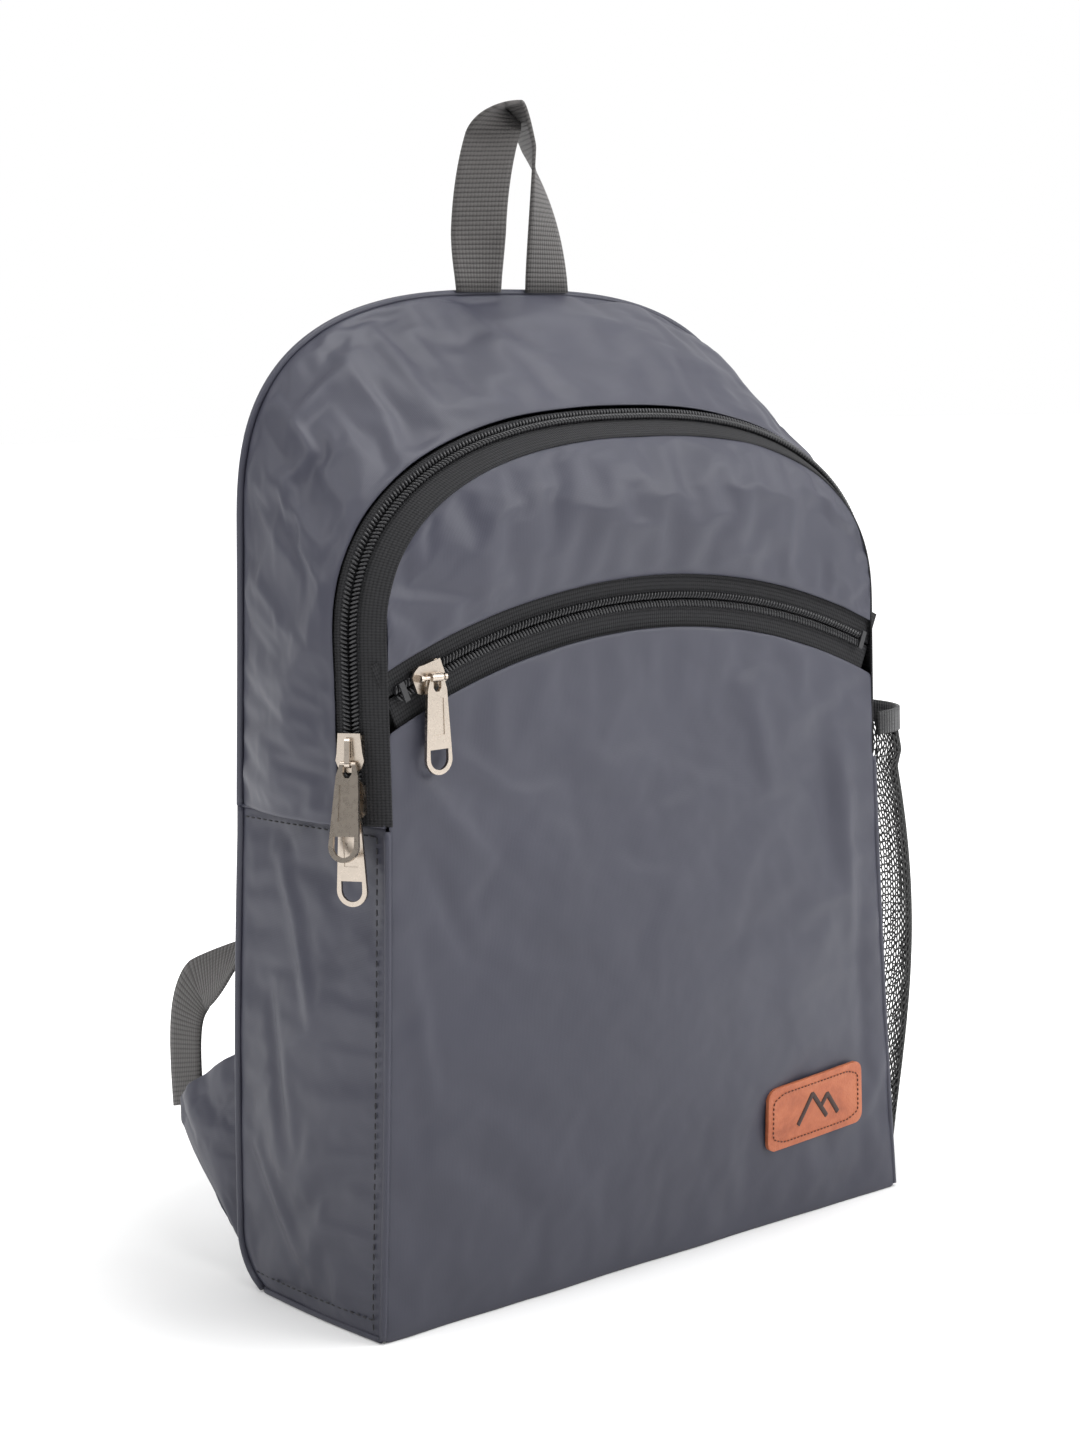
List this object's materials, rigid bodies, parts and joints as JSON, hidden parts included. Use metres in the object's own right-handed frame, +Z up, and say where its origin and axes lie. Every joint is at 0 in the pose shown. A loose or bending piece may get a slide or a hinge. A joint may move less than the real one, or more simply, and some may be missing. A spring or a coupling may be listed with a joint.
{
  "type": "daypack",
  "caption": "Soft zipped daypack with an arched main zipper, a zipped front pocket, a mesh side pocket, a haul loop and padded shoulder straps.",
  "frame": {"origin": "on the ground, midway across the base and midway between the front seam plane and the deepest point of the back panel", "axes": "+X to the right seen from the front, +Y towards the wearer's back, +Z up"},
  "size_m": [0.3679, 0.1855, 0.5167],
  "materials": {
    "shell_fabric": "satin",
    "zipper_tape": "matte",
    "zipper_coil": "satin",
    "nickel": "polished",
    "webbing": "matte",
    "foam": "matte",
    "lining": "matte",
    "mesh": "matte",
    "elastic": "matte",
    "leather": "matte",
    "black_plastic": "satin"
  },
  "bodies": {
    "bag": {"front_pocket_panel": "shell_fabric", "front_upper_panel": "shell_fabric", "pocket_back_wall": "lining", "side_panel_left": "shell_fabric", "side_panel_right": "shell_fabric", "bottom_panel": "shell_fabric", "gusset_panel": "shell_fabric", "back_panel": "shell_fabric", "back_foam": "foam", "back_lining": "lining", "main_tape_front": "zipper_tape", "main_tape_gusset": "zipper_tape", "main_coil_front": "zipper_coil", "main_coil_gusset": "zipper_coil", "main_zip_stops": "zipper_coil", "pocket_tape_lower": "zipper_tape", "pocket_tape_upper": "zipper_tape", "pocket_coil_lower": "zipper_coil", "pocket_coil_upper": "zipper_coil", "pocket_zip_stops": "zipper_coil", "strap_yoke": "shell_fabric", "leather_patch": "leather", "mesh_pocket": "mesh", "mesh_binding": "elastic", "wing_left": "shell_fabric", "wing_right": "shell_fabric"},
    "lower_slider": {"main_slider_lower": "nickel"},
    "upper_slider": {"main_slider_upper": "nickel"},
    "pocket_slider_body": {"pocket_slider": "nickel"},
    "lower_pull": {"pull_lower": "nickel"},
    "upper_pull": {"pull_upper": "nickel"},
    "pocket_pull": {"pull_pocket": "nickel"},
    "haul_loop_body": {"haul_loop": "webbing"},
    "strap_left": {"strap_face_left": "shell_fabric", "strap_foam_left": "foam", "strap_mesh_left": "mesh", "ladder_lock_left": "black_plastic", "strap_webbing_left": "webbing"},
    "strap_right": {"strap_face_right": "shell_fabric", "strap_foam_right": "foam", "strap_mesh_right": "mesh", "ladder_lock_right": "black_plastic", "strap_webbing_right": "webbing"}
  },
  "joints": [
    {"name": "lower_slider_slide", "type": "slide", "parent": "bag", "child": "lower_slider", "axis": [0, 0, 1], "range_m": [-0.0015, 0.022]},
    {"name": "upper_slider_slide", "type": "slide", "parent": "lower_slider", "child": "upper_slider", "axis": [0, 0, 1], "range_m": [0, 0.02]},
    {"name": "pocket_slider_travel", "type": "hinge", "parent": "bag", "child": "pocket_slider_body", "pos_m": [0, -0.051, -0.046], "axis": [0, 1, 0], "range_deg": [-0.6, 42.4]},
    {"name": "lower_pull_swing", "type": "hinge", "parent": "lower_slider", "child": "lower_pull", "pos_m": [-0.15561, -0.04296, 0.2218], "axis": [-0.5, 0.866, 0], "range_deg": [0, 12]},
    {"name": "upper_pull_swing", "type": "hinge", "parent": "upper_slider", "child": "upper_pull", "pos_m": [-0.15561, -0.04296, 0.2403], "axis": [-0.5, 0.866, 0], "range_deg": [0, 140]},
    {"name": "pocket_pull_swing", "type": "hinge", "parent": "pocket_slider_body", "child": "pocket_pull", "pos_m": [-0.12256, -0.0578, 0.27329], "axis": [-1, 0, 0], "range_deg": [0, 150]},
    {"name": "haul_loop_fold", "type": "hinge", "parent": "bag", "child": "haul_loop_body", "pos_m": [0, 0.0325, 0.433], "axis": [1, 0, 0], "range_deg": [-55, 55], "stiffness_Nm_per_rad": 0.05},
    {"name": "strap_left_swing", "type": "hinge", "parent": "bag", "child": "strap_left", "pos_m": [-0.044, 0.0394, 0.405], "axis": [1, 0, 0], "range_deg": [0, 60]},
    {"name": "strap_right_swing", "type": "hinge", "parent": "bag", "child": "strap_right", "pos_m": [0.044, 0.0394, 0.405], "axis": [1, 0, 0], "range_deg": [0, 60]}
  ]
}
